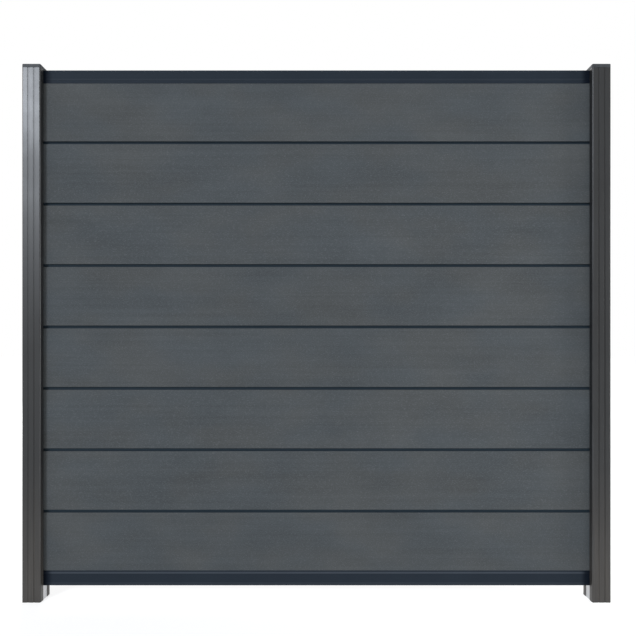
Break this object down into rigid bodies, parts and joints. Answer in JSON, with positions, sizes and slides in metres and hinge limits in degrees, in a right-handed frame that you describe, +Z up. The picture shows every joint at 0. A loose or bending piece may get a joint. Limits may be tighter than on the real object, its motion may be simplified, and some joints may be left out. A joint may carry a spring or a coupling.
{
  "type": "garden privacy screen",
  "caption": "Garden privacy screen of hollow tongue-and-groove composite boards slotted between fluted aluminium posts, with a bottom rail, a top rail and post caps.",
  "frame": {"origin": "on the ground, in the middle of the panel's length and depth, level with the feet of the posts", "axes": "+X runs along the panel from the left post to the right post as seen from the front, the front faces -Y, +Z is up"},
  "size_m": [1.896, 0.06, 1.7345],
  "materials": {
    "post_aluminium": "satin",
    "rail_aluminium": "satin",
    "board_composite": "matte",
    "cap_plastic": "matte",
    "seal_rubber": "matte",
    "support_aluminium": "satin"
  },
  "bodies": {
    "frame": {"left_post": "post_aluminium", "left_front_seal": "seal_rubber", "left_rear_seal": "seal_rubber", "left_rail_support": "support_aluminium", "right_post": "post_aluminium", "right_front_seal": "seal_rubber", "right_rear_seal": "seal_rubber", "right_rail_support": "support_aluminium", "bottom_rail": "rail_aluminium"},
    "board_1": {"board_1": "board_composite"},
    "board_2": {"board_2": "board_composite"},
    "board_3": {"board_3": "board_composite"},
    "board_4": {"board_4": "board_composite"},
    "board_5": {"board_5": "board_composite"},
    "board_6": {"board_6": "board_composite"},
    "board_7": {"board_7": "board_composite"},
    "board_8": {"board_8": "board_composite"},
    "top_rail": {"top_rail": "rail_aluminium"},
    "left_cap": {"left_post_cap": "cap_plastic"},
    "right_cap": {"right_post_cap": "cap_plastic"}
  },
  "joints": [
    {"name": "board_1_lift", "type": "slide", "parent": "frame", "child": "board_1", "axis": [0, 0, 1], "range_m": [0, 0.03]},
    {"name": "board_2_lift", "type": "slide", "parent": "board_1", "child": "board_2", "axis": [0, 0, 1], "range_m": [0, 0.03]},
    {"name": "board_3_lift", "type": "slide", "parent": "board_2", "child": "board_3", "axis": [0, 0, 1], "range_m": [0, 0.03]},
    {"name": "board_4_lift", "type": "slide", "parent": "board_3", "child": "board_4", "axis": [0, 0, 1], "range_m": [0, 0.03]},
    {"name": "board_5_lift", "type": "slide", "parent": "board_4", "child": "board_5", "axis": [0, 0, 1], "range_m": [0, 0.03]},
    {"name": "board_6_lift", "type": "slide", "parent": "board_5", "child": "board_6", "axis": [0, 0, 1], "range_m": [0, 0.03]},
    {"name": "board_7_lift", "type": "slide", "parent": "board_6", "child": "board_7", "axis": [0, 0, 1], "range_m": [0, 0.03]},
    {"name": "board_8_lift", "type": "slide", "parent": "board_7", "child": "board_8", "axis": [0, 0, 1], "range_m": [0, 0.03]},
    {"name": "top_rail_lift", "type": "slide", "parent": "board_8", "child": "top_rail", "axis": [0, 0, 1], "range_m": [0, 0.05]},
    {"name": "left_cap_lift", "type": "slide", "parent": "top_rail", "child": "left_cap", "axis": [0, 0, 1], "range_m": [0, 0.03]},
    {"name": "right_cap_lift", "type": "slide", "parent": "top_rail", "child": "right_cap", "axis": [0, 0, 1], "range_m": [0, 0.03]}
  ]
}
